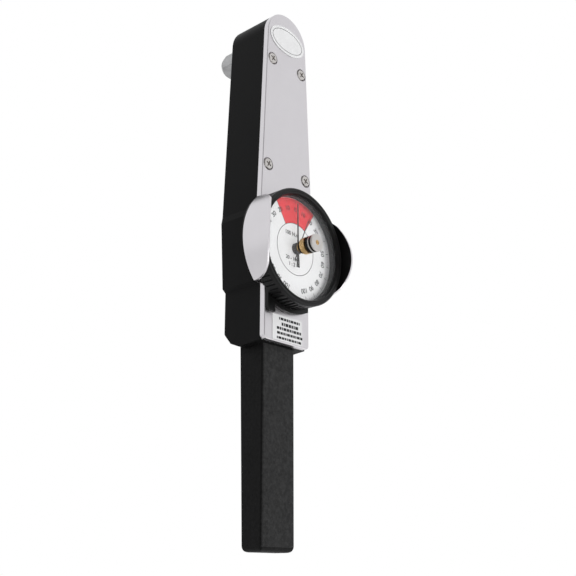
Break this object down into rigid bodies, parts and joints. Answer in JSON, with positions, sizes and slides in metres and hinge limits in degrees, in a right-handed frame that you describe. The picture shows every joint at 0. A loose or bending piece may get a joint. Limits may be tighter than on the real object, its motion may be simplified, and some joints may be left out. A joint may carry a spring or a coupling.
{
  "type": "dial torque wrench",
  "caption": "Upright dial torque wrench: black housing with silver cover and guard, round gauge with zeroing bezel and memory hand, square drive and straight grip.",
  "frame": {"origin": "on the square drive's axis, at the flat back of the housing", "axes": "+Z from the handle to the head, -Y out of the dial, +Y along the square drive"},
  "size_m": [0.0736, 0.0758, 0.3265],
  "materials": {
    "black_coat": "satin black powder coat",
    "satin_silver": "satin plated die casting",
    "bright_steel": "bright steel",
    "tool_steel": "ground tool steel",
    "chrome_plate": "chrome plated",
    "drive_steel": "satin hardened steel",
    "brass": "turned brass",
    "bronze": "sintered bronze",
    "black_plastic": "black moulded plastic",
    "grip_black": "wrinkled black grip",
    "dial_white": "white printed dial",
    "label_white": "silver-white vinyl label",
    "clear_lens": "clear acrylic",
    "hand_black": "black painted hand",
    "seal_rubber": "black seal rubber"
  },
  "bodies": {
    "housing": {"anchor_pins": "tool_steel", "arbor_bush": "brass", "calibration_label": "label_white", "calibration_screw": "brass", "cover_screws": "chrome_plate", "drive_bush": "bronze", "flex_beam": "tool_steel", "front_bush": "bronze", "front_cover": "satin_silver", "gauge_base": "black_plastic", "gauge_screws": "bright_steel", "hairspring_stud": "brass", "handle_core": "tool_steel", "handle_grip": "grip_black", "housing_casting": "black_coat", "oval_badge": "label_white", "thrust_washer": "bright_steel", "works_pillars": "brass", "works_plate": "brass", "works_screws": "bright_steel"},
    "drive": {"square_drive": "drive_steel", "drive_hub": "tool_steel", "indicator_arm": "bright_steel", "arm_screws": "bright_steel", "toothed_sector": "brass", "sector_screws": "bright_steel", "retaining_ring": "bright_steel", "detent_spring": "bright_steel"},
    "detent": {"detent_ball": "bright_steel"},
    "pointer_works": {"pointer_arbor": "bright_steel", "pinion": "bright_steel", "hairspring": "bronze", "pointer_hub": "hand_black", "pointer": "hand_black"},
    "bezel": {"bezel_ring": "black_plastic", "dial_face": "dial_white", "reflector_ring": "black_plastic", "lens_gasket": "seal_rubber", "lens": "clear_lens", "lens_washer": "seal_rubber", "lens_bush": "brass"},
    "memory": {"memory_pointer": "hand_black", "memory_shaft": "brass", "memory_knob": "chrome_plate", "knob_rings": "seal_rubber", "knob_screw": "brass"}
  },
  "joints": [
    {"name": "drive_twist", "type": "hinge", "parent": "housing", "child": "drive", "pos_m": [0, 0, 0], "axis": [0, 1, 0], "range_deg": [-2.42, 2.42], "stiffness_Nm_per_rad": 60},
    {"name": "pointer_turn", "type": "hinge", "parent": "housing", "child": "pointer_works", "pos_m": [0, 0, -0.1425], "axis": [0, 1, 0], "range_deg": [-162.5, 162.5]},
    {"name": "bezel_turn", "type": "hinge", "parent": "housing", "child": "bezel", "pos_m": [0, 0, -0.1425], "axis": [0, 1, 0], "continuous": true},
    {"name": "memory_turn", "type": "hinge", "parent": "bezel", "child": "memory", "pos_m": [0, 0, -0.1425], "axis": [0, 1, 0], "continuous": true},
    {"name": "detent_press", "type": "slide", "parent": "drive", "child": "detent", "axis": [-0.3007, 0, -0.9537], "range_m": [0, 0.0009], "stiffness_N_per_m": 2000, "springref_m": -0.001, "deforming": ["detent_spring"]}
  ],
  "couplings": [
    {"joint": "pointer_turn", "follows": "drive_twist", "ratio": -66.857}
  ]
}
